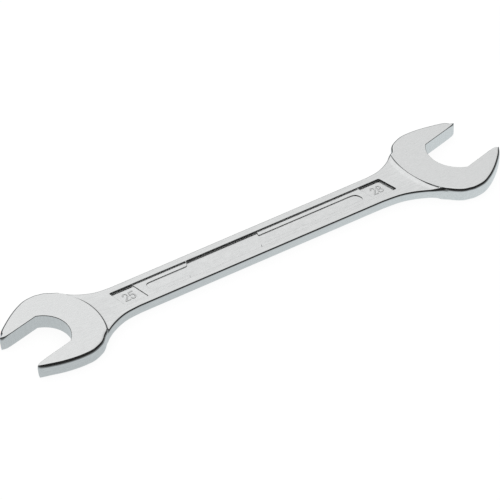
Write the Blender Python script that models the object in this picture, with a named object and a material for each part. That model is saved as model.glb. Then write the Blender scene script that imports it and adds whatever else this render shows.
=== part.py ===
"""Double open-end wrench, 25 mm and 28 mm jaws, drop forged in one piece.

The forging is modelled as three zones that follow its own step lines: the ground 25 mm
head, the ground 28 mm head and the thinner shank with its two necks. All lengths are in
metres. +X runs along the shank towards the 28 mm head, +Z is up, and the wrench lies on
the undersides of its two heads at z = 0.
"""

import math

import bmesh
import bpy
from mathutils import Matrix, Vector

# The two heads. Jaw sizes carry the usual clearance over the 25 and 28 mm nuts.
JAW_OPENING_25 = 0.02515
JAW_OPENING_28 = 0.02815
HEAD_HALF_WIDTH_25 = 0.0255
HEAD_HALF_WIDTH_28 = 0.0284
HEAD_REACH_25 = 0.0237
HEAD_REACH_28 = 0.0256
THROAT_SETBACK_25 = 0.0035
THROAT_SETBACK_28 = 0.0040
STEP_SETBACK_25 = 0.0195
STEP_SETBACK_28 = 0.0209
STEP_RADIUS_25 = 0.036
STEP_RADIUS_28 = 0.048
HEAD_THICKNESS = 0.0080
HEAD_SPACING = 0.224
HEAD_OFFSET_25 = 0.0009
HEAD_OFFSET_28 = 0.0004
JAW_ANGLE = math.radians(15.0)

# The shank and its necks. A neck's wide side is where the jaw turns away from the shank.
SHANK_HALF_WIDTH_25 = 0.0099
SHANK_HALF_WIDTH_28 = 0.0103
SHANK_THICKNESS = 0.0057
STEP_HEIGHT = 0.0005
NECK_START_25_WIDE_SIDE = 0.034
NECK_START_25_TIGHT_SIDE = 0.040
NECK_START_28_WIDE_SIDE = 0.044
NECK_START_28_TIGHT_SIDE = 0.041
NECK_RAMP_START = 0.036
NECK_RAMP_RUN = 0.017

# The recess in both faces of the shank, with its ledges, panels and size pockets.
RECESS_HALF_WIDTH = 0.00575
RECESS_FROM_25 = 0.0328
RECESS_FROM_28 = 0.0343
LEDGE_DEPTH = 0.0007
PANEL_DEPTH = 0.0012
LEDGE_WIDTH = 0.0028
POCKET_LENGTH_25 = 0.0124
POCKET_LENGTH_28 = 0.0127
PANEL_LAND_25 = 0.0046
PANEL_LAND_28 = 0.0041
CENTRE_PANEL_START = 0.0722
CENTRE_PANEL_LENGTH = 0.0407
CENTRE_PANEL_LEAN = math.radians(-18.3)
CORNER_RADIUS = 0.0008

# Edges and clearances.
EDGE_RADIUS = 0.0009
EDGE_SEGMENTS = 2
OVERRUN = 0.002
ZONE_GAP = 0.0003
MERGE_DISTANCE = 0.00001
FLAT_ANGLE = math.radians(0.2)
RIM_ANGLE = math.radians(80.0)
SMOOTH_ANGLE = math.radians(30.0)
CURVE_STEPS = 5
THROAT_STEPS = 18
STEP_LINE_SIDES = 160

# Outline of one cheek of a head, from the tip back to the waist, as shares of the
# head's half width along and across the jaw axis.
CHEEK_SHARES = (
    (0.79, 0.675),
    (0.57, 0.806),
    (0.352, 0.905),
    (0.165, 0.966),
    (-0.02, 0.998),
    (-0.22, 0.969),
    (-0.33, 0.92),
    (-0.43, 0.86),
)
CHEEK_TAIL_SHARES = ((-0.525, 0.755), (-0.61, 0.645))
TIP_CORNER_SHARES = (0.955, 0.63)
# Points of a neck curve between the shank and the head, as shares of its run and rise.
NECK_SHARES = ((0.3, 0.07), (0.52, 0.23), (0.74, 0.5), (0.9, 0.78))
# Points of the thickness ramp, as shares of its run and rise.
RAMP_SHARES = ((0.0, 0.0), (0.25, 0.1), (0.5, 0.4), (0.75, 0.8), (1.0, 1.0))
THROAT_RADIUS_SHARE = 0.611
# Points of a rounded pocket corner, as shares of the way round it.
CORNER_SHARES = (0.0, 0.25, 0.5, 0.75, 1.0)

CHROME_COLOUR = (0.72, 0.73, 0.73, 1.0)
CHROME_ROUGHNESS = 0.28


class Head:
    """One jaw head: its sizes and its place on the wrench."""

    def __init__(self, name, side, opening, half_width, reach, setback, step, step_radius, offset):
        self.name = name
        self.side = side
        self.opening = opening
        self.half_width = half_width
        self.reach = reach
        self.throat_setback = setback
        self.step_setback = step
        self.step_radius = step_radius
        self.centre = Vector((side * HEAD_SPACING / 2, side * offset))
        self.angle = JAW_ANGLE if side > 0 else JAW_ANGLE + math.pi

    def place(self, along, across):
        """Point of the plan, from lengths along and across the jaw axis."""
        turn = Matrix.Rotation(self.angle, 2)
        return self.centre + turn @ Vector((along, across))


HEAD_25 = Head("jaw_head_25", -1, JAW_OPENING_25, HEAD_HALF_WIDTH_25, HEAD_REACH_25,
               THROAT_SETBACK_25, STEP_SETBACK_25, STEP_RADIUS_25, HEAD_OFFSET_25)
HEAD_28 = Head("jaw_head_28", 1, JAW_OPENING_28, HEAD_HALF_WIDTH_28, HEAD_REACH_28,
               THROAT_SETBACK_28, STEP_SETBACK_28, STEP_RADIUS_28, HEAD_OFFSET_28)


def clear_scene():
    for old in list(bpy.data.objects):
        bpy.data.objects.remove(old, do_unlink=True)


def new_collection(name):
    group = bpy.data.collections.new(name)
    bpy.context.scene.collection.children.link(group)
    return group


def chrome_material():
    material = bpy.data.materials.new("satin_chrome")
    material.use_nodes = True
    shader = material.node_tree.nodes["Principled BSDF"]
    shader.inputs["Base Color"].default_value = CHROME_COLOUR
    shader.inputs["Metallic"].default_value = 1.0
    shader.inputs["Roughness"].default_value = CHROME_ROUGHNESS
    return material


def smooth_run(points):
    """Smooth curve through the points, by a Catmull-Rom formula."""
    run = []
    last = len(points) - 1
    for index in range(last):
        before = points[max(index - 1, 0)]
        start = points[index]
        end = points[index + 1]
        after = points[min(index + 2, last)]
        for step in range(CURVE_STEPS):
            t = step / CURVE_STEPS
            run.append(0.5 * (2 * start + (end - before) * t
                              + (2 * before - 5 * start + 4 * end - after) * t ** 2
                              + (3 * start - before - 3 * end + after) * t ** 3))
    run.append(points[last])
    return run


def cheek(head, side, waisted):
    """Outline of one cheek, from the tip to the waist."""
    shares = CHEEK_SHARES + (CHEEK_TAIL_SHARES if waisted else ())
    return [head.place(along * head.half_width, side * across * head.half_width)
            for along, across in shares]


def neck(head, waist, start, half_width):
    """Points of a neck curve, from the shank to the waist of the head."""
    foot = Vector((head.side * (HEAD_SPACING / 2 - start), math.copysign(half_width, waist.y)))
    span = waist - foot
    return [foot] + [foot + Vector((span.x * run, span.y * rise)) for run, rise in NECK_SHARES]


def tip(head, side):
    """Blunt end of one jaw: its outer corner and its end at the flat."""
    corner_reach, corner_width = TIP_CORNER_SHARES
    outer = head.place(corner_reach * head.reach, side * corner_width * head.half_width)
    inner = head.place(head.reach, side * head.opening / 2)
    return [inner, outer]


def half_outline(head, wide_start, tight_start, half_width):
    """Outline of one end of the wrench, from one shank edge round the tips to the other."""
    run = []
    for side, start, waisted in ((-1, wide_start, True), (1, tight_start, False)):
        outer = cheek(head, side, waisted)
        curve = smooth_run(neck(head, outer[-1], start, half_width) + outer[::-1])
        part = curve + tip(head, side)[::-1]
        run += part if side < 0 else part[::-1]
    return run


def plan_outline():
    """Whole plan of the forging blank, before the jaws are opened."""
    right = half_outline(HEAD_28, NECK_START_28_WIDE_SIDE, NECK_START_28_TIGHT_SIDE, SHANK_HALF_WIDTH_28)
    left = half_outline(HEAD_25, NECK_START_25_WIDE_SIDE, NECK_START_25_TIGHT_SIDE, SHANK_HALF_WIDTH_25)
    return right + left


def jaw_outline(head):
    """Outline of the space in a jaw: two flats and a round throat."""
    radius = THROAT_RADIUS_SHARE * head.opening
    middle = radius - head.throat_setback
    half = math.asin(head.opening / 2 / radius)
    mouth = head.reach + OVERRUN
    points = [head.place(mouth, head.opening / 2)]
    for step in range(THROAT_STEPS + 1):
        turn = math.pi - half + 2 * half * step / THROAT_STEPS
        points.append(head.place(middle + radius * math.cos(turn), radius * math.sin(turn)))
    points.append(head.place(mouth, -head.opening / 2))
    return points


def slab(name, outline, low, high, group):
    """Mesh object with a plan outline, between two heights."""
    curve = bpy.data.curves.new(name, "CURVE")
    curve.dimensions = "2D"
    curve.fill_mode = "BOTH"
    curve.extrude = (high - low) / 2
    spline = curve.splines.new("POLY")
    spline.points.add(len(outline) - 1)
    for point, place in zip(spline.points, outline):
        point.co = (place.x, place.y, 0.0, 1.0)
    spline.use_cyclic_u = True
    maker = bpy.data.objects.new(name + "_curve", curve)
    group.objects.link(maker)
    bpy.context.view_layer.update()
    view = bpy.context.evaluated_depsgraph_get()
    mesh = bpy.data.meshes.new_from_object(maker.evaluated_get(view))
    bpy.data.objects.remove(maker, do_unlink=True)
    weld(mesh)
    made = bpy.data.objects.new(name, mesh)
    made.location.z = (low + high) / 2
    group.objects.link(made)
    return made


def weld(mesh):
    """Joins the loose caps to the wall and leaves each flat face in one piece."""
    work = bmesh.new()
    work.from_mesh(mesh)
    bmesh.ops.remove_doubles(work, verts=work.verts, dist=MERGE_DISTANCE)
    bmesh.ops.dissolve_limit(work, angle_limit=FLAT_ANGLE, verts=work.verts, edges=work.edges)
    bmesh.ops.recalc_face_normals(work, faces=work.faces)
    work.to_mesh(mesh)
    work.free()


def as_cutter(cutter):
    cutter.hide_render = True
    cutter.display_type = "WIRE"
    return cutter


def combine(target, other, operation):
    modifier = target.modifiers.new(operation.lower() + "_" + other.name, "BOOLEAN")
    modifier.operation = operation
    modifier.solver = "EXACT"
    modifier.object = other


def round_rims(mesh, radius):
    """Rounds the edges all round the upper and the lower face of a slab."""
    work = bmesh.new()
    work.from_mesh(mesh)
    rims = [edge for edge in work.edges
            if edge.calc_face_angle() > RIM_ANGLE and edge.verts[0].co.z * edge.verts[1].co.z > 0]
    bmesh.ops.bevel(work, geom=rims, offset=radius, segments=EDGE_SEGMENTS, profile=0.5,
                    affect="EDGES", clamp_overlap=False)
    work.to_mesh(mesh)
    work.free()


def head_zone(head, growth, group):
    """Round cutter that holds all of a head up to its step line."""
    radius = head.step_radius + growth
    bpy.ops.mesh.primitive_cylinder_add(vertices=STEP_LINE_SIDES, radius=radius,
                                        depth=HEAD_THICKNESS + 2 * OVERRUN)
    zone = bpy.context.object
    zone.name = head.name + ("_zone" if growth == 0 else "_clearance")
    middle = head.place(head.step_radius - head.step_setback, 0.0)
    zone.location = (middle.x, middle.y, HEAD_THICKNESS / 2)
    for owner in list(zone.users_collection):
        owner.objects.unlink(zone)
    group.objects.link(zone)
    return as_cutter(zone)


def make_head(head, parts, cutters):
    made = slab(head.name, plan_outline(), 0.0, HEAD_THICKNESS, parts)
    round_rims(made.data, EDGE_RADIUS)
    jaw = slab(head.name + "_jaw", jaw_outline(head), -OVERRUN, HEAD_THICKNESS + OVERRUN, cutters)
    combine(made, head_zone(head, 0.0, cutters), "INTERSECT")
    combine(made, as_cutter(jaw), "DIFFERENCE")
    return made


def ramp_stations():
    """Places along the shank where its thickness changes slope, and the thickness there."""
    start = HEAD_SPACING / 2 - NECK_RAMP_START
    rise = HEAD_THICKNESS - 2 * STEP_HEIGHT - SHANK_THICKNESS
    return [(start + run * NECK_RAMP_RUN, SHANK_THICKNESS + lift * rise) for run, lift in RAMP_SHARES]


def thickness_at(x):
    """Thickness of the shank and its necks at a place along the wrench."""
    stations = ramp_stations()
    place = abs(x)
    for (near, thin), (far, thick) in zip(stations, stations[1:]):
        if place < far:
            return thin + (thick - thin) * max(place - near, 0.0) / (far - near)
    return stations[-1][1]


def thicken_necks(mesh):
    """Cuts the slab across at each station, then gives each point the thickness there."""
    work = bmesh.new()
    work.from_mesh(mesh)
    for place, _ in ramp_stations():
        for x in (-place, place):
            geometry = work.verts[:] + work.edges[:] + work.faces[:]
            bmesh.ops.bisect_plane(work, geom=geometry, plane_co=(x, 0.0, 0.0), plane_no=(1.0, 0.0, 0.0))
    for point in work.verts:
        point.co.z *= thickness_at(point.co.x) / SHANK_THICKNESS
    work.to_mesh(mesh)
    work.free()


def slanted_box(x_low, x_high, y_low, y_high, radius, slant):
    """Plan of a pocket with round corners, whose ends lean by the slant."""
    corners = [(x_low, y_low), (x_high, y_low), (x_high, y_high), (x_low, y_high)]
    corners = [Vector((x - slant * y, y)) for x, y in corners]
    points = []
    for index, corner in enumerate(corners):
        before = (corners[index - 1] - corner).normalized()
        after = (corners[(index + 1) % len(corners)] - corner).normalized()
        for t in CORNER_SHARES:
            points.append(corner + before * radius * (1 - t) ** 2 + after * radius * t ** 2)
    return points


def recess_layout():
    """Plan and depth of every cut in one face of the shank, in the reader's direction."""
    low = -HEAD_SPACING / 2 + RECESS_FROM_25
    high = HEAD_SPACING / 2 - RECESS_FROM_28
    centre_low = -HEAD_SPACING / 2 + CENTRE_PANEL_START
    centre_high = centre_low + CENTRE_PANEL_LENGTH
    half = RECESS_HALF_WIDTH
    slant = math.tan(JAW_ANGLE)
    centre_slant = math.tan(CENTRE_PANEL_LEAN)
    panel_low = low + POCKET_LENGTH_25 + PANEL_LAND_25
    panel_high = high - POCKET_LENGTH_28 - PANEL_LAND_28
    panel_half = half - LEDGE_WIDTH
    return {
        "ledge": (low, high, half, CORNER_RADIUS, slant, LEDGE_DEPTH),
        "pocket_25": (low, low + POCKET_LENGTH_25, half, CORNER_RADIUS, slant, PANEL_DEPTH),
        "pocket_28": (high - POCKET_LENGTH_28, high, half, CORNER_RADIUS, slant, PANEL_DEPTH),
        "long_panel": (panel_low, panel_high, panel_half, panel_half, slant, PANEL_DEPTH),
        "centre_panel": (centre_low, centre_high, half, CORNER_RADIUS, centre_slant, PANEL_DEPTH),
    }


def cut_recess(shank, group):
    """The same recess in the upper and the lower face."""
    middle = HEAD_THICKNESS / 2
    for face, turn in (("upper", 1), ("lower", -1)):
        for name, (low, high, half, radius, slant, depth) in recess_layout().items():
            outline = slanted_box(low, high, -half, half, radius, slant)
            if turn < 0:
                outline = [Vector((point.x, -point.y)) for point in reversed(outline)]
            floor = SHANK_THICKNESS / 2 - depth
            levels = sorted((middle + turn * floor, middle + turn * (HEAD_THICKNESS / 2 + OVERRUN)))
            cutter = slab(face + "_" + name, outline, levels[0], levels[1], group)
            combine(shank, as_cutter(cutter), "DIFFERENCE")


def make_shank(parts, cutters):
    low = (HEAD_THICKNESS - SHANK_THICKNESS) / 2
    made = slab("shank", plan_outline(), low, low + SHANK_THICKNESS, parts)
    round_rims(made.data, EDGE_RADIUS)
    thicken_necks(made.data)
    for head in (HEAD_25, HEAD_28):
        combine(made, head_zone(head, ZONE_GAP, cutters), "DIFFERENCE")
    cut_recess(made, cutters)
    return made


def rest_on_origin(objects):
    """Puts the middle of the wrench's plan over the origin."""
    plan = plan_outline()
    middle_x = (min(point.x for point in plan) + max(point.x for point in plan)) / 2
    middle_y = (min(point.y for point in plan) + max(point.y for point in plan)) / 2
    frame = bpy.data.objects.new("wrench_frame", None)
    bpy.context.scene.collection.objects.link(frame)
    frame.location = (-middle_x, -middle_y, 0.0)
    for piece in objects:
        piece.parent = frame


def main():
    clear_scene()
    parts = new_collection("double_open_end_wrench")
    cutters = new_collection("cutters")
    material = chrome_material()
    pieces = [make_head(HEAD_25, parts, cutters), make_shank(parts, cutters),
              make_head(HEAD_28, parts, cutters)]
    for piece in pieces:
        piece.data.materials.append(material)
        piece.data.shade_smooth()
        piece.data.set_sharp_from_angle(angle=SMOOTH_ANGLE)
    rest_on_origin(list(parts.objects) + list(cutters.objects))


main()
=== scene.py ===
# %% [markdown]
# A double open-end wrench, dressed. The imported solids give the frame: where the two heads
# lie, how thick they are, and which box the finished wrench may fill. On the real object
# there is only one piece of steel, drop forged, ground on its heads and chrome plated, so
# the lesson builds one unbroken surface and lets it stand for all three packed zones.

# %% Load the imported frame
import math

import bpy
import numpy as np
from mathutils import Matrix, Vector
from mathutils.geometry import delaunay_2d_cdt


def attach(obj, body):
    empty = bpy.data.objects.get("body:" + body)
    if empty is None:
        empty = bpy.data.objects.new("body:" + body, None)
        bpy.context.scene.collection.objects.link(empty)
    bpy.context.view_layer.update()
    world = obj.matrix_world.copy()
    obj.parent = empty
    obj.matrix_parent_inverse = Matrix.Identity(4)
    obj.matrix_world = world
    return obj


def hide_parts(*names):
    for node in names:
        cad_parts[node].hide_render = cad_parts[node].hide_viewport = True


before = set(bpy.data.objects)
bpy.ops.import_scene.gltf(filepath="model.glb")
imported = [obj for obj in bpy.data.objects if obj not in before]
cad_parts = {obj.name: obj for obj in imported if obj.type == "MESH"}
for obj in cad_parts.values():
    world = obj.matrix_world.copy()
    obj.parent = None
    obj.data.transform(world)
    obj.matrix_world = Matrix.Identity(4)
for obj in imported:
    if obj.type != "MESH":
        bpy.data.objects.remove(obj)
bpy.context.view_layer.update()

print("packed nodes:", sorted(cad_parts))

# %% [markdown]
# The camera comes first, because every later look is judged through it. A product
# photographer shoots a long tool from well back with a long lens, so its two ends keep
# nearly the same scale. The view is set by plain angles round a point near the middle of
# the shank, with a small roll, and needs no shift.

# %% Place the camera
MM = 0.001
CAMERA_AZIMUTH = math.radians(-28.62)
CAMERA_ELEVATION = math.radians(41.16)
CAMERA_ROLL = math.radians(-3.51)
CAMERA_DISTANCE = 941.0 * MM
CAMERA_LENS = 135.6
CAMERA_SENSOR = 36.0
CAMERA_TARGET = Vector((-5.19 * MM, 1.63 * MM, 0.5 * MM))


def new_object(name, data):
    """Object that is already in the scene."""
    thing = bpy.data.objects.new(name, data)
    bpy.context.collection.objects.link(thing)
    return thing


def place_camera():
    """Camera on a sphere round its target, rolled about its own line of sight."""
    back = Vector((math.sin(CAMERA_AZIMUTH) * math.cos(CAMERA_ELEVATION),
                   -math.cos(CAMERA_AZIMUTH) * math.cos(CAMERA_ELEVATION),
                   math.sin(CAMERA_ELEVATION)))
    right = Vector((0.0, 0.0, 1.0)).cross(back).normalized()
    up = back.cross(right)
    rolled_right = right * math.cos(CAMERA_ROLL) + up * math.sin(CAMERA_ROLL)
    rolled_up = up * math.cos(CAMERA_ROLL) - right * math.sin(CAMERA_ROLL)
    lens = bpy.data.cameras.new("product_camera")
    lens.lens = CAMERA_LENS
    lens.sensor_width = CAMERA_SENSOR
    camera = new_object("product_camera", lens)
    turn = Matrix((rolled_right, rolled_up, back)).transposed().to_4x4()
    camera.matrix_world = Matrix.Translation(CAMERA_TARGET + back * CAMERA_DISTANCE) @ turn
    bpy.context.scene.camera = camera
    return back


towards_camera = place_camera()
print("camera height in mm:", round(CAMERA_DISTANCE * towards_camera.z / MM, 1))

# %% [markdown]
# The sizes are the wrench's own, in millimetres. Each head is drawn in its own plan axes,
# along and across its jaw, and then turned by the jaw angle and set at its end of the
# shank. The outer sides of a head are dressed by hand after forging and differ a little,
# so each of the four flanks has its own few sizes. The two classes keep them together, so
# that later steps can ask a head for any place on it.

# %% Sizes of the wrench
JAW_ANGLE = math.radians(15.0)
HEAD_SPACING = 224.0 * MM
STEP_RIM = 0.14 * MM
STEP_EASE = 2.0


def smooth_step(value):
    """Soft change from 0 to 1 as the value goes from 0 to 1."""
    t = np.clip(value, 0.0, 1.0)
    return t * t * (3.0 - 2.0 * t)


def keep_lengths(owner, lengths):
    """Keep each length or place, given in millimetres, under its own name."""
    for name, value in lengths.items():
        setattr(owner, name, Vector(value) * MM if isinstance(value, tuple) else value * MM)


class Head:
    """One jaw head: its sizes in millimetres and its place on the wrench."""

    def __init__(self, side, rim_share, flanks, **lengths):
        keep_lengths(self, lengths)
        self.side = side
        self.rim_share = rim_share
        self.flanks = flanks
        self.centre = Vector((side * HEAD_SPACING / 2, side * self.offset))
        self.angle = JAW_ANGLE if side > 0 else JAW_ANGLE + math.pi
        self.step_centre = self.place(self.step_radius - self.step_setback, 0.0)

    def place(self, along, across):
        """Point of the plan, from lengths along and across the jaw axis."""
        return self.centre + Matrix.Rotation(self.angle, 2) @ Vector((along, across))

    def beyond_step(self, x, y):
        """How far outside the head's step line a point lies."""
        return np.hypot(x - self.step_centre.x, y - self.step_centre.y) - self.step_radius

    def step_drop(self, x, y):
        """Share of the step at a place: a short steep rim, then a long run out."""
        outside = np.maximum(self.beyond_step(x, y), 0.0)
        rim = smooth_step(outside / STEP_RIM)
        run = 1.0 - (1.0 - np.minimum(outside / self.step_run, 1.0)) ** STEP_EASE
        return self.rim_share * rim + (1.0 - self.rim_share) * run


class Flank:
    """Outer side of one jaw, in millimetres along and across the jaw axis."""

    def __init__(self, **lengths):
        keep_lengths(self, lengths)


HEAD_25 = Head(
    side=-1, opening=25.15, reach=23.7, throat_setback=3.5, offset=0.9, edge=1.9,
    step_setback=19.4, step_radius=36.0, step_run=1.3, rim_share=0.25, shank_half_width=9.95,
    flanks={-1: Flank(half_width=26.2, length=0.8, nose=1.8, slant=0.0, corner=(22.6, 15.7),
                      shoulder=(20.7, 17.9), waist_shift=0.35, neck_shift=0.8, neck_start=34.0),
            1: Flank(half_width=25.85, length=1.1, nose=1.4, slant=0.0, corner=(23.6, 15.3),
                     shoulder=(20.42, 17.45), waist_shift=0.35, neck_shift=-0.2, neck_start=40.0)})
HEAD_28 = Head(
    side=1, opening=28.15, reach=25.6, throat_setback=4.0, offset=0.4, edge=1.65,
    step_setback=20.85, step_radius=46.0, step_run=3.0, rim_share=0.3, shank_half_width=10.4,
    flanks={-1: Flank(half_width=28.7, length=0.7, nose=1.3, slant=0.0, corner=(26.6, 16.3),
                      shoulder=(22.9, 19.4), waist_shift=0.5, neck_shift=0.0, neck_start=44.0),
            1: Flank(half_width=29.15, length=2.7, nose=2.1, slant=2.3, corner=(25.3, 17.9),
                     shoulder=(23.1, 20.0), waist_shift=-1.1, neck_shift=1.0, neck_start=41.0)})
HEADS = (HEAD_25, HEAD_28)


def beyond_steps(x, y):
    """How far outside both step lines a point lies."""
    return np.minimum(*[head.beyond_step(x, y) for head in HEADS])


print("jaw openings in mm:", [round(head.opening / MM, 2) for head in HEADS])

# %% [markdown]
# A forging is thick where it is loaded and thin where it is held. Its half thickness is a
# function of the plan: flat over each ground head, then a step down where the grinding
# ends, with a short steep rim and a longer run out. Behind the step the neck is crowned,
# thicker on its middle line than at its flanks, and it ramps slowly down to the shank.
# Every point of the upper surface asks this one function for its height, and the lower
# surface mirrors it, so the two sides can't drift apart.

# %% Thickness over the plan
HEAD_HALF_THICKNESS = 4.0 * MM
SHANK_HALF_THICKNESS = 2.77 * MM
STEP_HEIGHT = 0.35 * MM
RAMP_START = 81.0 * MM
RAMP_RUN = 18.0 * MM
CROWN_HALF_WIDTH = 14.0 * MM


def half_thickness(x, y):
    """Half the thickness of the wrench at places of its plan."""
    ramp = smooth_step((np.abs(x) - RAMP_START) / RAMP_RUN)
    ramp = ramp * (1.0 - smooth_step(np.abs(y) / CROWN_HALF_WIDTH))
    neck = SHANK_HALF_THICKNESS + ramp * (HEAD_HALF_THICKNESS - STEP_HEIGHT - SHANK_HALF_THICKNESS)
    drop = np.minimum(*[head.step_drop(x, y) for head in HEADS])
    return HEAD_HALF_THICKNESS + (neck - HEAD_HALF_THICKNESS) * drop


print("half thickness over the origin, in mm:", round(float(half_thickness(0.0, 0.0)) / MM, 2))

# %% [markdown]
# No edge of the wrench is left sharp in the hand. The die gives the shank and the necks a
# soft round, and the ground heads meet their cheeks in a wider one. A bevel modifier has
# one width for a whole object, so the radius is a function of the plan here as well.

# %% Edge radius over the plan
NECK_EDGE = 1.1 * MM
SHANK_EDGE = 0.95 * MM
JAW_EDGE = 0.4 * MM
EDGE_BLEND = 1.2 * MM
NECK_EDGE_START = 68.0 * MM
NECK_EDGE_RUN = 22.0 * MM


def edge_radius(x, y):
    """Radius of the rounded outer edge: softest on the necks, finer on head and shank."""
    along = smooth_step((np.abs(x) - NECK_EDGE_START) / NECK_EDGE_RUN)
    forged = SHANK_EDGE + (NECK_EDGE - SHANK_EDGE) * along
    ground = np.where(x < 0, HEAD_25.edge, HEAD_28.edge)
    return ground + (forged - ground) * smooth_step(beyond_steps(x, y) / EDGE_BLEND)


print("edge radius at mid shank, in mm:", round(float(edge_radius(0.0, 0.0)) / MM, 2))

# %% [markdown]
# The maker of the die cuts the wrench's outline from a few fair curves, small rounds and
# straight runs. The same three are enough here. Plain points are used instead of curve
# objects, because the mesh has to know every one of them.

# %% Curves for the plan
CURVE_STEPS = 22
CORNER_STEPS = 9


def smooth_run(points):
    """Smooth curve that passes through all the points."""
    run = []
    last = len(points) - 1
    for index in range(last):
        before = points[max(index - 1, 0)]
        start = points[index]
        end = points[index + 1]
        after = points[min(index + 2, last)]
        for step in range(CURVE_STEPS):
            t = step / CURVE_STEPS
            run.append(0.5 * (2 * start + (end - before) * t
                              + (2 * before - 5 * start + 4 * end - after) * t ** 2
                              + (3 * start - before - 3 * end + after) * t ** 3))
    run.append(points[last])
    return run


def rounded(corner, before, after, radius):
    """Small curve that rounds a corner of the plan."""
    near = (before - corner).normalized() * radius
    far = (after - corner).normalized() * radius
    steps = [step / CORNER_STEPS for step in range(CORNER_STEPS + 1)]
    return [corner + near * (1 - t) ** 2 + far * t ** 2 for t in steps]


def straight(start, end, steps):
    """Points between two ends, without the ends themselves."""
    return [start.lerp(end, step / steps) for step in range(1, steps)]


print("points in each smooth stretch:", CURVE_STEPS)

# %% [markdown]
# Each end of the wrench is a jaw between two flanks. The throat of the jaw is a true arc,
# as the cutter leaves it. A flank rises from the shank along the neck, swings round the
# cheek and ends at the nose of the jaw tip, where the dressing wheel broke the corner. The
# curve of the cheeks and necks is given as shares of each flank, because such a wrench is
# made in many sizes with the same look.

# %% Flanks and jaws
CHEEK_SHARES = ((0.57, 0.806), (0.352, 0.905), (0.165, 0.966), (-0.02, 0.998),
                (-0.22, 0.969), (-0.33, 0.92), (-0.43, 0.86))
CHEEK_TAIL_SHARES = ((-0.525, 0.755), (-0.61, 0.645))
NECK_SHARES = ((0.3, 0.07), (0.52, 0.23), (0.74, 0.5), (0.9, 0.78))
THROAT_RADIUS_SHARE = 0.611
SHANK_OFFSET = 0.38 * MM
THROAT_STEPS = 56


def flank(head, side):
    """Outer flank of a head from the shank to the nose of the jaw tip, with its neck."""
    own = head.flanks[side]
    shares = CHEEK_SHARES + (CHEEK_TAIL_SHARES if side < 0 else ())
    cheek = [head.place(a * own.half_width, side * c * own.half_width) for a, c in shares]
    tip = [head.place(head.reach + own.length - own.slant, side * (head.opening / 2 + own.nose)),
           head.place(own.corner.x, side * own.corner.y),
           head.place(own.shoulder.x, side * own.shoulder.y)]
    cheek[-1].y += own.waist_shift
    waist = cheek[-1]
    foot = Vector((head.side * (HEAD_SPACING / 2 - own.neck_start),
                   SHANK_OFFSET + math.copysign(head.shank_half_width, waist.y)))
    span = waist + Vector((0.0, own.neck_shift)) - foot
    neck = [foot] + [foot + Vector((span.x * run, span.y * rise)) for run, rise in NECK_SHARES]
    return smooth_run(neck + cheek[::-1] + tip[::-1])


def jaw(head):
    """Throat of the opening, from the -1 side to the +1 side."""
    radius = THROAT_RADIUS_SHARE * head.opening
    middle = radius - head.throat_setback
    half = math.asin(head.opening / 2 / radius)
    arc = []
    for step in range(THROAT_STEPS + 1):
        turn = math.pi + half - 2 * half * step / THROAT_STEPS
        arc.append(head.place(middle + radius * math.cos(turn), radius * math.sin(turn)))
    return arc


print("points along one flank:", len(flank(HEAD_25, 1)))

# %% [markdown]
# The outline runs once round the wrench against the clock. Every point also carries two
# lengths for the edge above it, how far it reaches inwards and how far it falls: a milled
# jaw keeps a crisp edge, the forged flanks are well rounded, and the tips fall away the
# most. The joins at the tips are eased, because on the real wrench they were tumbled, and
# because rings that follow a sharp bend would cross.

# %% Draw the plan outline
TIP_ROUND_SHARE = 0.75
TIP_EDGE = (0.85 * MM, 2.4 * MM)
TIP_BLEND = 4.0 * MM
TIP_EASE_ROUNDS = 30
FLAT_STEPS = 24
SHANK_STEPS = 28


def jaw_end(head, side):
    """Corner where the flat of the opening would meet the end of the jaw."""
    return head.place(head.reach + head.flanks[side].length, side * head.opening / 2)


def flank_edge(places, end):
    """The two lengths of the edge along a flank, where they change to those of the tip."""
    lengths = []
    for place in places:
        own = float(edge_radius(place.x, place.y))
        far = float(smooth_step((place - end).length / TIP_BLEND))
        lengths.append(tuple(tip + (own - tip) * far for tip in TIP_EDGE))
    return lengths


def head_outline(head):
    """Points of one end, against the clock, each with the two lengths of its edge."""
    near_flank, far_flank = flank(head, -1), flank(head, 1)[::-1]
    near_end, far_end = jaw_end(head, -1), jaw_end(head, 1)
    near_leg, far_leg = [TIP_ROUND_SHARE * head.flanks[side].nose for side in (-1, 1)]
    arc = jaw(head)
    near_tip = rounded(near_end, near_flank[-1], arc[0], near_leg)
    far_tip = rounded(far_end, arc[-1], far_flank[0], far_leg)
    opening = straight(near_tip[-1], arc[0], FLAT_STEPS) + arc
    opening += straight(arc[-1], far_tip[0], FLAT_STEPS)
    points = near_flank + near_tip + opening + far_tip + far_flank
    lengths = flank_edge(near_flank, near_end) + [TIP_EDGE] * len(near_tip)
    lengths += [(JAW_EDGE, JAW_EDGE)] * len(opening) + [TIP_EDGE] * len(far_tip)
    return points, lengths + flank_edge(far_flank, far_end)


def eased(values, rounds):
    """Values evened out with their neighbours round the closed outline."""
    for _ in range(rounds):
        before, after = np.roll(values, 1, axis=0), np.roll(values, -1, axis=0)
        values = 0.25 * before + 0.5 * values + 0.25 * after
    return values


def softened_tips(points):
    """Outline without kinks near the four jaw tips."""
    tips = [jaw_end(head, side) for head in HEADS for side in (-1, 1)]
    gap = np.min([np.hypot(points[:, 0] - tip.x, points[:, 1] - tip.y) for tip in tips], axis=0)
    far = smooth_step(gap / TIP_BLEND)[:, None]
    return points * far + eased(points, TIP_EASE_ROUNDS) * (1.0 - far)


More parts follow.
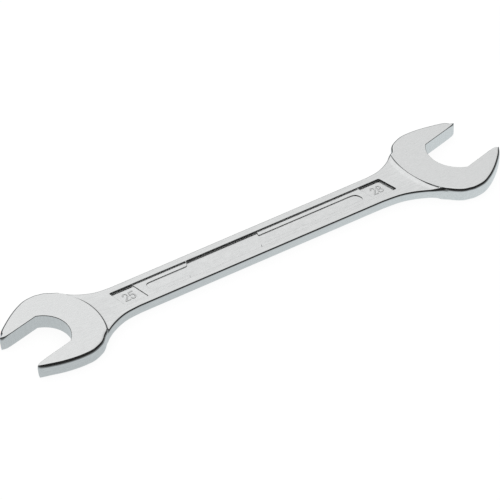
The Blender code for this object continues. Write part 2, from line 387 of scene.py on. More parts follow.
def plan_outline():
    """The whole outline, with straight runs along both edges of the shank."""
    points_28, radii_28 = head_outline(HEAD_28)
    points_25, radii_25 = head_outline(HEAD_25)
    upper = straight(points_28[-1], points_25[0], SHANK_STEPS)
    lower = straight(points_25[-1], points_28[0], SHANK_STEPS)
    points = points_28 + upper + points_25 + lower
    shank = (SHANK_EDGE, SHANK_EDGE)
    radii = radii_28 + [shank] * len(upper) + radii_25 + [shank] * len(lower)
    return softened_tips(np.array(points)), np.array(radii)


outline, radii = plan_outline()
print("outline points:", len(outline), "box in mm:", np.round(np.ptp(outline, axis=0) / MM, 2))

# %% [markdown]
# The flanks and rounded edges are rings that follow the outline. Going up, each ring steps
# inwards along a quarter of an ellipse with the local reach and fall, so one formula gives
# a crisp jaw and a soft neck. Both lengths are eased along the outline first, because a
# sudden change would show as a kink in the reflections. The reach also stays below the
# largest circle that fits into the plan at that place, or the rings would cross each other
# inside the narrow tips.

# %% Rings round the edge
EDGE_RINGS = 7
FLANK_SWELL = 0.10 * MM
SWELL_START = 1.4 * JAW_EDGE
EASE_ROUNDS = 14
SAFE_SHARE = 0.8
SAFE_ROUNDS = 3
TOUCH_LIMIT = 0.0001 * MM
OPEN_ROOM = 1.0


def inward_normals(points):
    """Unit direction into the steel at each point of the outline."""
    ahead = np.roll(points, -1, axis=0) - points
    ahead /= np.linalg.norm(ahead, axis=1)[:, None]
    behind = np.roll(ahead, 1, axis=0)
    tangent = ahead + behind
    tangent /= np.linalg.norm(tangent, axis=1)[:, None]
    return np.stack([-tangent[:, 1], tangent[:, 0]], axis=1)


def room_inside(normals):
    """Radius of the largest circle in the plan that touches it at each point."""
    gap = outline[None] - outline[:, None]
    inwards = (gap * normals[:, None]).sum(axis=2)
    reach = (gap ** 2).sum(axis=2) / (2.0 * np.maximum(inwards, TOUCH_LIMIT))
    return np.where(inwards > TOUCH_LIMIT, reach, OPEN_ROOM).min(axis=1)


def edge_rings():
    """Plan and height of each ring of the upper half, from the mid plane to the face."""
    normals = inward_normals(outline)
    soft, fall = eased(radii, EASE_ROUNDS).T
    room = room_inside(normals)
    soft = np.minimum(soft, SAFE_SHARE * np.minimum(room, eased(room, SAFE_ROUNDS)))
    forged = smooth_step((soft - SWELL_START) / (SHANK_EDGE - SWELL_START))
    swell = (FLANK_SWELL * forged)[:, None]
    rings = [(outline - normals * swell, np.zeros(len(outline)))]
    for ring in range(EDGE_RINGS + 1):
        turn = math.pi / 2 * ring / EDGE_RINGS
        inset = (soft * (1.0 - math.cos(turn)))[:, None]
        plan = outline + normals * inset
        drop = fall * (1.0 - math.sin(turn))
        rings.append((plan, half_thickness(plan[:, 0], plan[:, 1]) - drop))
    return rings


rings = edge_rings()
border = rings[-1][0]
print("rings from mid plane to face:", len(rings))

# %% [markdown]
# Both broad faces of the shank carry a shallow forged recess with leaning ends. Inside it,
# the size pockets and the long panel drop deeper, and the long panel widens to the full
# recess in the middle, so two narrow strips are left standing on each side. Each cut is a
# closed plan with rounded corners. Cutting boxes out of the steel would leave sharp rims,
# so the plans only tell how far inside a cut a point lies.

# %% Plans of the recess
RECESS_HALF_WIDTH = 5.87 * MM
RECESS_LOW = -79.2 * MM
RECESS_HIGH = 77.7 * MM
LEDGE_WIDTH = 2.8 * MM
POCKET_25_LENGTH = 12.65 * MM
POCKET_28_LENGTH = 12.7 * MM
PANEL_LAND_25 = 4.35 * MM
PANEL_LAND_28 = 4.1 * MM
CENTRE_LOW = -39.8 * MM
CENTRE_HIGH = 0.9 * MM
CENTRE_LEAN = 0.33
BOX_CORNER = 0.9 * MM
STRIP_CORNER = 1.1 * MM
SHARP_CORNER = 0.1 * MM
WIDE_HALF = RECESS_HALF_WIDTH + 1.5 * MM
END_OVERRUN = 1.5 * MM
SHORTEST = 1e-18


def rounded_plan(corners):
    """Closed plan through corners given as x, y and the size of the round there."""
    places = [Vector((x, y)) for x, y, _ in corners]
    points = []
    for index, (_, _, radius) in enumerate(corners):
        points += rounded(places[index], places[index - 1], places[(index + 1) % len(places)], radius)
    return np.array(points)


def leaning_box(low, high, half, radius):
    """Plan of a cut with round corners and ends that lean along the jaw angle."""
    lean = math.tan(JAW_ANGLE)
    corners = ((low, -half), (high, -half), (high, half), (low, half))
    return rounded_plan([(x - lean * y, y, radius) for x, y in corners])


def long_panel(low, high):
    """Plan of the long panel with its wide middle part, against the clock."""
    half = RECESS_HALF_WIDTH - LEDGE_WIDTH
    lean = -math.tan(JAW_ANGLE)
    upper = ((low, half, lean, half), (CENTRE_LOW, half, CENTRE_LEAN, STRIP_CORNER),
             (CENTRE_LOW, WIDE_HALF, CENTRE_LEAN, SHARP_CORNER),
             (CENTRE_HIGH, WIDE_HALF, CENTRE_LEAN, SHARP_CORNER),
             (CENTRE_HIGH, half, CENTRE_LEAN, STRIP_CORNER), (high, half, lean, half))
    corners = []
    for side, run in ((-1, upper), (1, upper[::-1])):
        corners += [(x + side * tilt * y, side * y, radius) for x, y, tilt, radius in run]
    return rounded_plan(corners)


def distance_to_chain(points, chain):
    """Shortest distance from each point to a chain of straight pieces."""
    best = np.full(len(points), np.inf)
    for start, end in zip(chain[:-1], chain[1:]):
        span = end - start
        share = np.clip(((points - start) @ span) / max(span @ span, SHORTEST), 0.0, 1.0)
        gap = points - start - share[:, None] * span
        best = np.minimum(best, np.hypot(gap[:, 0], gap[:, 1]))
    return best


def inside(points, polygon):
    """Which points lie inside a closed polygon, by counting crossings."""
    x, y = points[:, 0], points[:, 1]
    odd = np.zeros(len(points), dtype=bool)
    for (ax, ay), (bx, by) in zip(polygon, np.roll(polygon, -1, axis=0)):
        if ay != by:
            odd ^= ((ay > y) != (by > y)) & (x < ax + (y - ay) * (bx - ax) / (by - ay))
    return odd


def depth_inside(points, plan):
    """Distance from the edge of a cut, positive inside it."""
    gap = distance_to_chain(points, np.concatenate([plan, plan[:1]]))
    return np.where(inside(points, plan), gap, -gap)


OUTER_PLAN = leaning_box(RECESS_LOW, RECESS_HIGH, RECESS_HALF_WIDTH, BOX_CORNER)
DEEP_PLANS = (
    leaning_box(RECESS_LOW - END_OVERRUN, RECESS_LOW + POCKET_25_LENGTH, WIDE_HALF, BOX_CORNER),
    leaning_box(RECESS_HIGH - POCKET_28_LENGTH, RECESS_HIGH + END_OVERRUN, WIDE_HALF, BOX_CORNER),
    long_panel(RECESS_LOW + POCKET_25_LENGTH + PANEL_LAND_25,
               RECESS_HIGH - POCKET_28_LENGTH - PANEL_LAND_28),
)
print("deep cuts in each face:", len(DEEP_PLANS))

# %% [markdown]
# A die can only let go of the steel if its walls lean a little, and its corners are never
# sharp. So the section of each cut is a round rim, a steep drafted wall and a round foot.
# The distance from the edge of the cut gives the depth, and the shallower of the outer and
# the inner cut counts, with a small fillet where they meet.

# %% Depth of the recess
LEDGE_DEPTH = 0.8 * MM
PANEL_DEPTH = 1.3 * MM
WALL_ANGLE = math.radians(82.0)
OUTER_RIM = 0.3 * MM
INNER_RIM = 0.25 * MM
FOOT_RADIUS = 0.1 * MM
ROUND_ROWS = 5
JOIN_SOFTNESS = 0.12 * MM
SEARCH_ACROSS = 1.2 * RECESS_HALF_WIDTH
SEARCH_ALONG = 5.0 * MM


class Wall:
    """Section of a cut: round rim, steep wall and round foot."""

    def __init__(self, rim, floor):
        rise = 1.0 - math.cos(WALL_ANGLE)
        self.rim = rim
        self.floor = floor
        self.rim_end = rim * (math.sin(WALL_ANGLE) - 1.0)
        self.rim_drop = rim * rise
        fall = floor - self.rim_drop - FOOT_RADIUS * rise
        self.wall_end = self.rim_end + fall / math.tan(WALL_ANGLE)
        self.foot_end = self.wall_end + FOOT_RADIUS * math.sin(WALL_ANGLE)

    def depth(self, gap):
        """Depth at a distance inside the edge."""
        in_rim = np.clip(gap + self.rim, 0.0, self.rim)
        in_foot = np.clip(self.foot_end - gap, 0.0, FOOT_RADIUS)
        rim = self.rim - np.sqrt(self.rim ** 2 - in_rim ** 2)
        wall = self.rim_drop + (gap - self.rim_end) * math.tan(WALL_ANGLE)
        foot = self.floor - FOOT_RADIUS + np.sqrt(FOOT_RADIUS ** 2 - in_foot ** 2)
        return np.where(gap < self.rim_end, rim, np.where(gap < self.wall_end, wall, foot))

    def stations(self):
        """Distances at which a row of points holds the section."""
        turns = WALL_ANGLE * np.linspace(0.0, 1.0, ROUND_ROWS)
        rim = -self.rim + self.rim * np.sin(turns)
        foot = self.foot_end - FOOT_RADIUS * np.sin(turns)
        return sorted([*rim, (self.rim_end + self.wall_end) / 2, *foot])


OUTER_WALL = Wall(OUTER_RIM, PANEL_DEPTH)
INNER_WALL = Wall(INNER_RIM, PANEL_DEPTH - LEDGE_DEPTH)


def recess_depth(x, y):
    """Depth of the recess at places of the plan."""
    points = np.stack([x, y], axis=1)
    result = np.zeros(len(points))
    near = np.abs(y) < SEARCH_ACROSS
    near &= (x > RECESS_LOW - SEARCH_ALONG) & (x < RECESS_HIGH + SEARCH_ALONG)
    points = points[near]
    outer = OUTER_WALL.depth(depth_inside(points, OUTER_PLAN))
    inner = np.max([INNER_WALL.depth(depth_inside(points, plan)) for plan in DEEP_PLANS], axis=0)
    inner += LEDGE_DEPTH
    blend = np.maximum(JOIN_SOFTNESS - np.abs(outer - inner), 0.0) / JOIN_SOFTNESS
    joined = np.minimum(outer, inner) - blend ** 2 * JOIN_SOFTNESS / 4
    result[near] = np.maximum(joined, 0.0)
    return result


print("ledge and panel depth in mm:", LEDGE_DEPTH / MM, PANEL_DEPTH / MM)

# %% [markdown]
# The size of each opening stands in its pocket as a raised number. In the die these are
# grooves, so on the steel they come out as low, round-topped ridges. Each digit is a few
# plain strokes, and the ridge follows from the distance to the nearest stroke.

# %% Strokes of the size numbers
DIGIT_HEIGHT = 4.9 * MM
DIGIT_WIDTH = 2.4 * MM
DIGIT_GAP = 0.95 * MM
STROKE_HALF = 0.36 * MM
RIDGE_HEIGHT = 0.2 * MM
RIDGE_REACH_SHARE = 1.25
ARC_STEPS = 14
NUMBER_25_PLACE = -72.95 * MM
NUMBER_28_PLACE = 70.9 * MM


def bow(centre, reach, start, end):
    """Part of an ellipse as points, with angles in degrees."""
    turns = np.radians(np.linspace(start, end, ARC_STEPS))
    return [(centre[0] + reach[0] * math.cos(t), centre[1] + reach[1] * math.sin(t)) for t in turns]


def digit_strokes(digit):
    """Strokes of one digit in a box one unit wide and one unit tall."""
    if digit == "2":
        return [bow((0.5, 0.72), (0.46, 0.28), 170, -38) + [(0.04, 0.0), (1.0, 0.0)]]
    if digit == "5":
        return [[(0.94, 1.0), (0.16, 1.0), (0.08, 0.56)] + bow((0.46, 0.33), (0.5, 0.33), 125, -150)]
    return [bow((0.5, 0.76), (0.4, 0.24), 0, 360), bow((0.5, 0.26), (0.5, 0.27), 0, 360)]


def number_strokes(number, place):
    """Strokes of a whole number, centred on its place along the shank."""
    width = DIGIT_WIDTH * len(number) + DIGIT_GAP * (len(number) - 1)
    strokes = []
    for index, digit in enumerate(number):
        corner = (place - width / 2 + index * (DIGIT_WIDTH + DIGIT_GAP), -DIGIT_HEIGHT / 2)
        for stroke in digit_strokes(digit):
            strokes.append(np.array(stroke) * (DIGIT_WIDTH, DIGIT_HEIGHT) + corner)
    return strokes


STROKES = number_strokes("25", NUMBER_25_PLACE) + number_strokes("28", NUMBER_28_PLACE)


def stroke_box(stroke):
    """Low and high corner of the box that holds a stroke and its ridge."""
    return stroke.min(axis=0) - 2 * STROKE_HALF, stroke.max(axis=0) + 2 * STROKE_HALF


def ridge_height(x, y):
    """Height of the raised numbers over the pocket floor."""
    points = np.stack([x, y], axis=1)
    height = np.zeros(len(points))
    for stroke in STROKES:
        low, high = stroke_box(stroke)
        near = np.all((points > low) & (points < high), axis=1)
        gap = distance_to_chain(points[near], stroke)
        ridge = RIDGE_HEIGHT * smooth_step(RIDGE_REACH_SHARE - gap / STROKE_HALF)
        height[near] = np.maximum(height[near], ridge)
    return height


def face_height(x, y, flip):
    """Half height of a finished face: thickness, less the recess, plus the numbers."""
    across = flip * (y - SHANK_OFFSET)
    return half_thickness(x, y) - recess_depth(x, across) + ridge_height(x, across)


print("digit strokes:", len(STROKES))

# %% [markdown]
# The face inside the last ring is filled from points, and they are dense only where its
# height bends. An even grid would need millions to draw the fine step where the grinding
# of the heads ends. Chains of points that run along the step line do it with few.

# %% Points along the step lines
STEP_ARC_POINTS = 150
STEP_ARC_HALF_ANGLE = 0.75
STEP_RIM_SHARES = (-0.3, 0.0, 0.25, 0.5, 0.75, 1.0)
STEP_RUN_SHARES = (0.2, 0.35, 0.5, 0.7, 0.85, 1.0)
ARC_MARGIN = 0.3 * MM
CHUNK = 4000


def far_from(points, polygon, distance):
    """Which points keep a distance from the corners of a polygon."""
    keep = np.ones(len(points), dtype=bool)
    for start in range(0, len(points), CHUNK):
        part = points[start:start + CHUNK]
        gaps = np.hypot(part[:, 0][:, None] - polygon[:, 0], part[:, 1][:, None] - polygon[:, 1])
        keep[start:start + CHUNK] = gaps.min(axis=1) > distance
    return keep


def step_arcs():
    """Chains of points along the step lines, kept just inside the last ring."""
    chains = []
    spread = np.linspace(-STEP_ARC_HALF_ANGLE, STEP_ARC_HALF_ANGLE, STEP_ARC_POINTS)
    for head in HEADS:
        turns = head.angle + math.pi + spread
        offsets = [STEP_RIM * share for share in STEP_RIM_SHARES]
        for offset in offsets + [head.step_run * share for share in STEP_RUN_SHARES]:
            radius = head.step_radius + offset
            chain = np.stack([head.step_centre.x + radius * np.cos(turns),
                              head.step_centre.y + radius * np.sin(turns)], axis=1)
            chains.append(chain[inside(chain, border) & far_from(chain, border, ARC_MARGIN)])
    return chains


step_chains = step_arcs()
print("points in the chains:", sum(len(chain) for chain in step_chains))

# %% [markdown]
# Rows of points follow each bend of the recess walls, a fine grid carries the numbers, and
# a loose grid carries the slow ramp of the necks. The lower face takes the same points
# turned over about the length of the wrench, because the real tool reads the same from
# both sides.

# %% Points on the recess, the numbers and the necks
CHAIN_STEP = 0.5 * MM
LEDGE_ROWS = (-0.02 * MM, 0.02 * MM, 0.1 * MM)
RIM_MARGIN = 1.2 * OUTER_RIM
DIGIT_GRID = 0.13 * MM
DIGIT_GRID_SHARE = 1.45
NECK_GRID = 1.6 * MM
RECESS_END = 82.0 * MM


def even_chain(plan):
    """Closed chain with long sides cut into even pieces."""
    points = []
    for start, end in zip(plan, np.roll(plan, -1, axis=0)):
        pieces = max(1, int(np.linalg.norm(end - start) / CHAIN_STEP))
        points += [start + (end - start) * i / pieces for i in range(pieces)]
    return np.array(points)


def wall_points():
    """Rows of points that hold the rim, the wall and the foot of every cut."""
    ledge = OUTER_WALL.rim_end + (LEDGE_DEPTH - OUTER_WALL.rim_drop) / math.tan(WALL_ANGLE)
    outer_rows = OUTER_WALL.stations() + [ledge + row for row in LEDGE_ROWS]
    cuts = [(OUTER_PLAN, outer_rows)] + [(plan, INNER_WALL.stations()) for plan in DEEP_PLANS]
    points = []
    for plan, rows in cuts:
        chain = even_chain(plan)
        normals = inward_normals(chain)
        points += [chain + normals * row for row in rows]
    points = np.concatenate(points)
    return points[depth_inside(points, OUTER_PLAN) > -RIM_MARGIN]


def grid_points(low, high, step):
    """Square grid over a box of the plan."""
    across = np.arange(low[0], high[0], step)
    up = np.arange(low[1], high[1], step)
    return np.stack(np.meshgrid(across, up), axis=-1).reshape(-1, 2)


def digit_points():
    """Fine grid over the numbers."""
    near = []
    for stroke in STROKES:
        grid = grid_points(*stroke_box(stroke), DIGIT_GRID)
        near.append(grid[distance_to_chain(grid, stroke) < STROKE_HALF * DIGIT_GRID_SHARE])
    return np.concatenate(near)


def neck_points():
    """Loose grid of the necks, clear of the last ring and of the step lines."""
    grid = grid_points(border.min(axis=0), border.max(axis=0), NECK_GRID)
    steps = np.minimum(*[np.abs(head.beyond_step(grid[:, 0], grid[:, 1])) for head in HEADS])
    beside = np.abs(grid[:, 1]) > RECESS_HALF_WIDTH + NECK_GRID / 2
    past_end = np.abs(grid[:, 0]) > RECESS_END
    grid = grid[(steps > NECK_GRID / 2) & (beside | past_end)]
    grid = grid[inside(grid, border)]
    return grid[far_from(grid, border, NECK_GRID / 2)]


recess_points = np.concatenate([wall_points(), digit_points()])
neck_grid = neck_points()
print("points on the recess and its number:", len(recess_points), "on the necks:", len(neck_grid))

# %% [markdown]
# A triangulation joins these points and keeps the last ring as its border, and so the one
# piece of steel stays one closed skin. All heights come from one function, so the fill
# meets the rings exactly.

# %% Fill a face
MERGE_DISTANCE = 0.001 * MM
INSIDE_ONLY = 1


def fill_face(flip):
    """Triangles inside the last ring: points of the fill, and faces over ring and fill."""
    recess = recess_points * (1, flip) + (0.0, SHANK_OFFSET)
    points = [Vector(p) for p in np.concatenate([border, *step_chains, neck_grid, recess])]
    edges = []
    start = len(border)
    for chain in step_chains:
        edges += [(index, index + 1) for index in range(start, start + len(chain) - 1)]
        start += len(chain)
    made, _, faces, origins, _, _ = delaunay_2d_cdt(
        points, edges, [list(range(len(border)))], INSIDE_ONLY, MERGE_DISTANCE)
    return np.array(made), faces, origins


print("points of the last ring:", len(border))

# %% [markdown]
# Chrome shows every small change of slope, so the shading has to be better than the
# triangles. On the broad faces the slope of the height function tells each point which way
# it looks. The rings get the average of the faces round them, weighted by area, which
# keeps the crisp edges crisp and the soft ones soft. At the end the whole skin moves a
# little, so that the middle of its plan lies over the origin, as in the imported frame.

# %% Close the forging
SLOPE_REACH = 0.008 * MM
PLAN_SHIFT = Vector((1.1117 * MM, 0.1583 * MM))


def face_slopes(x, y, flip):
    """Outward direction of the finished face at places of its plan."""
    reach = SLOPE_REACH
    along = face_height(x + reach, y, flip) - face_height(x - reach, y, flip)
    across = face_height(x, y + reach, flip) - face_height(x, y - reach, flip)
    slopes = np.stack([-along, -across, np.full(len(x), 2 * reach * flip)], axis=1)
    return slopes / np.linalg.norm(slopes, axis=1)[:, None]


def set_normals(mesh, known):
    """Shade by the known outward directions, and by the wider faces round every other point."""
    total = np.zeros((len(mesh.vertices), 3))
    for face in mesh.polygons:
        total[list(face.vertices)] += np.array(face.normal) * face.area
    for index, direction in known.items():
        total[index] = direction
    total /= np.linalg.norm(total, axis=1)[:, None]
    mesh.polygons.foreach_set("use_smooth", [True] * len(mesh.polygons))
    mesh.normals_split_custom_set_from_vertices(total.tolist())


def close_forging():
    """One closed mesh: rings, their mirror image below, and both faces."""
    count = len(outline)
    verts = []
    faces = []
    levels = [(plan, -height) for plan, height in rings[:0:-1]] + rings
    for plan, height in levels:
        verts += [(x, y, z) for (x, y), z in zip(plan, height)]
    for level in range(len(levels) - 1):
        for index in range(count):
            ahead = (index + 1) % count
            faces.append((level * count + index, level * count + ahead,
                          (level + 1) * count + ahead, (level + 1) * count + index))
    normals = {}
    for sign, ring_start in ((1, (len(levels) - 1) * count), (-1, 0)):
        fill, triangles, origins = fill_face(sign)
        heights = face_height(fill[:, 0], fill[:, 1], sign)
        slopes = face_slopes(fill[:, 0], fill[:, 1], sign)
        number = {}
        for index, origin in enumerate(origins):
            on_ring = [o for o in origin if o < count]
            if on_ring:
                number[index] = ring_start + on_ring[0]
            else:
                number[index] = len(verts)
                verts.append((fill[index][0], fill[index][1], sign * heights[index]))
            normals[number[index]] = slopes[index]
        faces += [[number[i] for i in (f if sign > 0 else f[::-1])] for f in triangles]
    verts = np.array(verts) - np.array([PLAN_SHIFT.x, PLAN_SHIFT.y, -HEAD_HALF_THICKNESS])
    mesh = bpy.data.meshes.new("wrench_forging")
    mesh.from_pydata(verts.tolist(), [], faces)
    set_normals(mesh, normals)
    return mesh


forging_mesh = close_forging()
print("forging faces:", len(forging_mesh.polygons))

# %% [markdown]
# One object carries the mesh. It rides on the frame's only body and stands for the two
# heads and the shank. It needs no modifier, because its edges are already round and its
# shading directions were set when the mesh was closed.

# %% Make the forging an object
forging = new_object("wrench_forging", forging_mesh)
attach(forging, "root")
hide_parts("jaw_head_25", "shank", "jaw_head_28")
print("piece:", forging.name)

# %% [markdown]
# The finish is one bright chrome plate over steel that was worked in different ways. The
# heads were ground flat, the shank and necks came from the die and were tumbled, the
# recess floor kept the grain of the die, and the jaw flats were broached. A painted
# picture could carry such marks, but nodes stay sharp from near and far. A few helpers
# come first, so that a node tree reads like a short list.

# %% Helpers for nodes
def fill(tree, socket, value):
    """Join a socket to the one that feeds it, or give it a plain value."""
    if isinstance(value, bpy.types.NodeSocket):
        tree.links.new(value, socket)
    else:
        socket.default_value = value


def new_node(tree, kind, inputs=None, **fields):
    """New node with its fields set and its inputs filled."""
    node = tree.nodes.new(kind)
    for field, value in fields.items():
        setattr(node, field, value)
    for label, value in (inputs or {}).items():
        fill(tree, node.inputs[label], value)
    return node


def math_node(tree, operation, first, second):
    """Result of a Math node."""
    return new_node(tree, "ShaderNodeMath", {0: first, 1: second}, operation=operation).outputs[0]


def noise(tree, place, scale, detail):
    """Random pattern between 0 and 1."""
    inputs = {"Vector": place, "Scale": scale, "Detail": detail}
    return new_node(tree, "ShaderNodeTexNoise", inputs).outputs["Fac"]


def map_range(tree, value, source, target, soft=False):
    """Value carried from one range to another, at an even or a soft pace."""
    labels = ("Value", "From Min", "From Max", "To Min", "To Max")
    pace = "SMOOTHSTEP" if soft else "LINEAR"
    inputs = dict(zip(labels, (value, *source, *target)))
    return new_node(tree, "ShaderNodeMapRange", inputs, interpolation_type=pace).outputs[0]


def mix_shader(tree, share, first, second):
    """Shader that goes from the first to the second as the share goes from 0 to 1."""
    return new_node(tree, "ShaderNodeMixShader", {0: share, 1: first, 2: second}).outputs[0]


def empty_tree(owner):
    """Node tree of a material or a world, with nothing in it."""
    owner.use_nodes = True
    owner.node_tree.nodes.clear()
    return owner.node_tree


def new_group(name, inputs, outputs):
    """Empty node group with named inputs and outputs."""
    group = bpy.data.node_groups.new(name, "ShaderNodeTree")
    for label, kind, value in inputs:
        socket = group.interface.new_socket(label, in_out="INPUT", socket_type="NodeSocket" + kind)
        if value is not None:
            socket.default_value = value
    for label, kind in outputs:
        group.interface.new_socket(label, in_out="OUTPUT", socket_type="NodeSocket" + kind)
    given, result = group.nodes.new("NodeGroupInput"), group.nodes.new("NodeGroupOutput")
    return group, given.outputs, result.inputs


print("materials before the chrome:", len(bpy.data.materials))

# %% [markdown]
# Every finish shows the same marks in its own measure: a fine grain, long lines left by
# the grinding belt or the broach, and slow patches of polish. One node group makes them,
# with an input for each measure, so a change to the group reaches every finish. It puts
# out a height for the bump, a roughness, and a tone between a bright and a dull chrome.

# %% Node group for the marks of making
CHROME_BRIGHT = (0.82, 0.83, 0.83, 1.0)
CHROME_DULL = (0.74, 0.75, 0.75, 1.0)
TONE_RANGE = (0.38, 0.62)
GRAIN_DETAIL = 3.0
LINE_DETAIL = 2.0
PATCH_DETAIL = 2.0
PATCH_SCALE = 60.0
COLOUR_MIX_INPUTS = (0, 6, 7)
COLOUR_MIX_OUTPUT = 2


def make_worked_surface():
    """Fine grain, long lines and slow patches, as a height, a roughness and a tone."""
    group, given, result = new_group(
        "worked_surface",
        (("Position", "Vector", None), ("Grain Size", "Float", 900.0), ("Grain Depth", "Float", 0.5),
         ("Line Stretch", "Vector", (200.0, 3000.0, 200.0)), ("Line Depth", "Float", 0.5),
         ("Roughness", "Float", 0.25), ("Roughness Spread", "Float", 0.06),
         ("Bright", "Color", CHROME_BRIGHT), ("Dull", "Color", CHROME_DULL)),
        (("Height", "Float"), ("Roughness", "Float"), ("Color", "Color")))
    stretched = new_node(group, "ShaderNodeVectorMath",
                         {0: given["Position"], 1: given["Line Stretch"]}, operation="MULTIPLY")
    grain = noise(group, given["Position"], given["Grain Size"], GRAIN_DETAIL)
    lines = noise(group, stretched.outputs[0], 1.0, LINE_DETAIL)
    patches = noise(group, given["Position"], PATCH_SCALE, PATCH_DETAIL)
    grain_height = math_node(group, "MULTIPLY", grain, given["Grain Depth"])
    line_height = math_node(group, "MULTIPLY", lines, given["Line Depth"])
    even = math_node(group, "SUBTRACT", patches, 0.5)
    spread = math_node(group, "MULTIPLY", even, given["Roughness Spread"])
    marks = math_node(group, "ADD", grain, lines)
    tone = map_range(group, math_node(group, "MULTIPLY", marks, 0.5), TONE_RANGE, (0.0, 1.0))
    sources = (tone, given["Dull"], given["Bright"])
    blend = new_node(group, "ShaderNodeMix", dict(zip(COLOUR_MIX_INPUTS, sources)), data_type="RGBA")
    fill(group, result["Height"], math_node(group, "ADD", grain_height, line_height))
    fill(group, result["Roughness"], math_node(group, "ADD", spread, given["Roughness"]))
    fill(group, result["Color"], blend.outputs[COLOUR_MIX_OUTPUT])
    return group


worked_surface = make_worked_surface()
print("nodes in the group:", len(worked_surface.nodes))

# %% [markdown]
# Chrome is a metal shader with a pale grey colour. Each finish places the node group in
# its own material with its own measures: lines along the shank on the ground heads, upright
# lines on the broached flats, and the deepest grain on the recess floor. A row of the table
# holds a name, the strength of the bump and the measures in their order.

# %% Chrome over each kind of surface
MARK_DEPTH = 0.02 * MM
MEASURES = ("Grain Size", "Grain Depth", "Line Stretch", "Line Depth", "Roughness")


def make_chrome(name, bump_strength, measures):
    """Chrome over one kind of worked steel."""
    material = bpy.data.materials.new(name)
    material.use_nodes = True
    tree = material.node_tree
    place = new_node(tree, "ShaderNodeTexCoord").outputs["Object"]
    inputs = dict(zip(("Position", *MEASURES), (place, *measures)))
    surface = new_node(tree, "ShaderNodeGroup", inputs, node_tree=worked_surface).outputs
    relief = {"Strength": bump_strength, "Distance": MARK_DEPTH, "Height": surface["Height"]}
    bump = new_node(tree, "ShaderNodeBump", relief)
    sources = {"Metallic": 1.0, "Base Color": surface["Color"], "Roughness": surface["Roughness"],
               "Normal": bump.outputs["Normal"]}
    for label, value in sources.items():
        fill(tree, tree.nodes["Principled BSDF"].inputs[label], value)
    return material


FINISHES = (
    ("satin_chrome_forged", 0.25, (1400.0, 1.0, (120.0, 900.0, 1500.0), 0.6, 0.12)),
    ("satin_chrome_ground", 0.2, (2200.0, 0.5, (250.0, 2600.0, 250.0), 0.7, 0.12)),
    ("satin_chrome_recess", 0.35, (1500.0, 1.6, (300.0, 500.0, 300.0), 0.5, 0.18)),
    ("satin_chrome_broached", 0.35, (1500.0, 0.4, (3200.0, 3200.0, 150.0), 1.2, 0.18)),
)
for name, strength, measures in FINISHES:
    forging_mesh.materials.append(make_chrome(name, strength, measures))
print("finishes:", [m.name for m in forging_mesh.materials])

# %% [markdown]
# Each triangle takes the finish of the zone where its middle lies. The step line parts the
# ground face from the forged neck, the recess has its own finish, and the upright walls
# inside the jaws are broached. The functions that shaped the steel also know its zones, so
# nothing has to be picked by hand.

# %% Give each zone its finish
FORGED, GROUND, RECESS, BROACHED = range(len(FINISHES))
FLAT_LIMIT = 0.5


def face_values(name):
    """One vector per face of the forging."""
    values = np.empty(len(forging_mesh.polygons) * 3)
    forging_mesh.polygons.foreach_get(name, values)
    return values.reshape(-1, 3)


def zone_finishes():
    """Number of the finish for every face."""
    centres, normals = face_values("center"), face_values("normal")
    x, y = centres[:, 0] + PLAN_SHIFT.x, centres[:, 1] + PLAN_SHIFT.y
    flip = np.where(centres[:, 2] > HEAD_HALF_THICKNESS, 1.0, -1.0)
    flat = np.abs(normals[:, 2]) > FLAT_LIMIT
    zone = np.where(flat & (beyond_steps(x, y) < 0), GROUND, FORGED)
    zone = np.where(recess_depth(x, flip * (y - SHANK_OFFSET)) > OUTER_RIM / 2, RECESS, zone)
    for head in HEADS:
        cos, sin = math.cos(head.angle), math.sin(head.angle)
        offset = np.stack([x - head.centre.x, y - head.centre.y], axis=1)
        along, across = (offset @ np.array([[cos, -sin], [sin, cos]])).T
        between = np.abs(across) < head.opening / 2 + JAW_EDGE
        ahead = (along > -head.throat_setback - JAW_EDGE) & (along < head.reach)
        zone = np.where(~flat & between & ahead, BROACHED, zone)
    return zone.astype(np.int32)


finishes = zone_finishes()
forging_mesh.polygons.foreach_set("material_index", finishes)
print("faces per finish:", np.bincount(finishes).tolist())

# %% [markdown]
# The floor is a plain pale sheet, far wider than the picture. It lies a hair under the
# wrench, so that the two never share a plane.

# %% Lay the floor
FLOOR_HALF = 6.0
FLOOR_DROP = 0.15 * MM
FLOOR_CORNERS = ((-1, -1), (1, -1), (1, 1), (-1, 1))

floor_mesh = bpy.data.meshes.new("studio_floor")
floor_mesh.from_pydata([(x * FLOOR_HALF, y * FLOOR_HALF, -FLOOR_DROP) for x, y in FLOOR_CORNERS],
                       [], [(0, 1, 2, 3)])
floor = new_object("studio_floor", floor_mesh)
print("floor width in m:", 2 * FLOOR_HALF)

# %% [markdown]
# To the camera the sheet is white and keeps a faint shadow. To the chrome it glows a painted
# light, a cool grey painted a little brighter on the right and painted darker where it is seen
# at a shallow angle, as shade for the far floor outside the light of the studio. The upright
# walls of the wrench mirror this painted glow, which gives them their grey. From below the
# sheet is clear, so that a camera down there still sees the underside of the wrench.

# %% Give the floor its look
# Painted light: the grey, the side strengths and the grazing share set the floor's painted glow,
# which only mirror rays see.
PAINTED_FLOOR_GREY = (0.94, 1.0, 1.02, 1.0)
PAINTED_LIGHT_SIDES = (-0.12, 0.12)
PAINTED_LIGHT_STRENGTHS = (0.62, 0.76)
GRAZING_RANGE = (0.42, 0.75)
GRAZING_SHADE_SHARE = 0.3
SHEET_GREY = (0.12, 0.12, 0.12, 1.0)
FLOOR_GLOW = 0.904


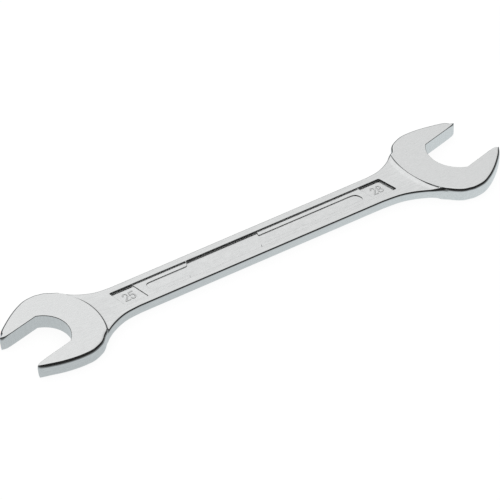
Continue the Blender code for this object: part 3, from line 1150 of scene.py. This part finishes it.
def make_floor_finish():
    """White for the camera, a painted grey glow for mirror rays, clear from below."""
    material = bpy.data.materials.new("pale_floor")
    tree = empty_tree(material)
    sheet = new_node(tree, "ShaderNodeBsdfDiffuse", {"Color": SHEET_GREY})
    glow = new_node(tree, "ShaderNodeEmission", {"Strength": FLOOR_GLOW})
    seen = new_node(tree, "ShaderNodeAddShader", {0: sheet.outputs[0], 1: glow.outputs[0]})
    # Painted shade: the glow for mirror rays is painted darker where the floor is seen at a low
    # angle.
    slope = new_node(tree, "ShaderNodeLayerWeight").outputs["Facing"]
    shallow = map_range(tree, slope, GRAZING_RANGE, (1.0, GRAZING_SHADE_SHARE), soft=True)
    # Painted light: the glow for mirror rays is painted brighter towards the right.
    place = new_node(tree, "ShaderNodeTexCoord").outputs["Object"]
    across = new_node(tree, "ShaderNodeSeparateXYZ", {0: place}).outputs["X"]
    side = map_range(tree, across, PAINTED_LIGHT_SIDES, PAINTED_LIGHT_STRENGTHS)
    light = {"Color": PAINTED_FLOOR_GREY, "Strength": math_node(tree, "MULTIPLY", shallow, side)}
    mirrored = new_node(tree, "ShaderNodeEmission", light)
    to_camera = new_node(tree, "ShaderNodeLightPath").outputs["Is Camera Ray"]
    above = mix_shader(tree, to_camera, mirrored.outputs[0], seen.outputs[0])
    from_below = new_node(tree, "ShaderNodeNewGeometry").outputs["Backfacing"]
    clear = new_node(tree, "ShaderNodeBsdfTransparent")
    surface = mix_shader(tree, from_below, above, clear.outputs[0])
    new_node(tree, "ShaderNodeOutputMaterial", {"Surface": surface})
    return material


floor_mesh.materials.append(make_floor_finish())
print("floor finish:", floor_mesh.materials[0].name)

# %% [markdown]
# The room is dark, with one large round window high up on the far side. Chrome has no
# colour of its own, so it looks like metal only when it has something bright and something
# dark to mirror. The broad faces mirror the window, and every rounded edge turns away from
# it and draws a thin black line. A lamp would only give a small highlight, so the window
# is painted into the world by direction.

# %% Shape the light of the room
WINDOW_ZENITH = math.radians(37.0)
WINDOW_HALF_ANGLE = math.radians(41.0)
WINDOW_SOFTNESS = math.radians(7.0)
WINDOW_SIDES = (0.2, 0.6)
WINDOW_SHADES = (0.945, 0.78)
DARK_SHADE = 0.015
LOW_WALL_SHADE = 0.12
LOW_WALL_TOP = math.radians(12.0)


def room_shade(tree):
    """Strength of the room in each direction."""
    away = -Vector((towards_camera.x, towards_camera.y, 0.0)).normalized()
    window = away * math.sin(WINDOW_ZENITH) + Vector((0.0, 0.0, math.cos(WINDOW_ZENITH)))
    rim = [math.cos(WINDOW_HALF_ANGLE + side * WINDOW_SOFTNESS) for side in (1, -1)]
    place = new_node(tree, "ShaderNodeTexCoord").outputs["Generated"]
    dot = new_node(tree, "ShaderNodeVectorMath", {0: place, 1: window}, operation="DOT_PRODUCT")
    direction = new_node(tree, "ShaderNodeSeparateXYZ", {0: place}).outputs
    pane = map_range(tree, dot.outputs["Value"], rim, (0.0, 1.0), soft=True)
    tilt = map_range(tree, direction["X"], WINDOW_SIDES, WINDOW_SHADES)
    wall = map_range(tree, direction["Z"], (0.0, math.sin(LOW_WALL_TOP)),
                     (LOW_WALL_SHADE, DARK_SHADE), soft=True)
    return math_node(tree, "MAXIMUM", math_node(tree, "MULTIPLY", pane, tilt), wall)


print("window width in degrees:", round(math.degrees(2 * WINDOW_HALF_ANGLE)))

# %% [markdown]
# Only mirror rays meet this room. The camera sees plain white behind the wrench, and the
# same plain white lights the floor from all sides, which gives the soft shadow of a
# product picture.

# %% Light the room
ROOM_LIGHT = 1.0
WHITE = (1.0, 1.0, 1.0, 1.0)


def light_room():
    """World that is white to the camera and a dark room with a window to the chrome."""
    world = bpy.data.worlds.new("studio_room")
    bpy.context.scene.world = world
    tree = empty_tree(world)
    window = {"Color": WHITE, "Strength": room_shade(tree)}
    mirrored = new_node(tree, "ShaderNodeBackground", window)
    seen = new_node(tree, "ShaderNodeBackground", {"Color": WHITE, "Strength": ROOM_LIGHT})
    glossy = new_node(tree, "ShaderNodeLightPath").outputs["Is Glossy Ray"]
    surface = mix_shader(tree, glossy, seen.outputs[0], mirrored.outputs[0])
    new_node(tree, "ShaderNodeOutputWorld", {"Surface": surface})
    return world


print("world:", light_room().name)

# %% [markdown]
# Last comes the view transform.

# %% Set the view transform
bpy.context.scene.view_settings.view_transform = "Standard"
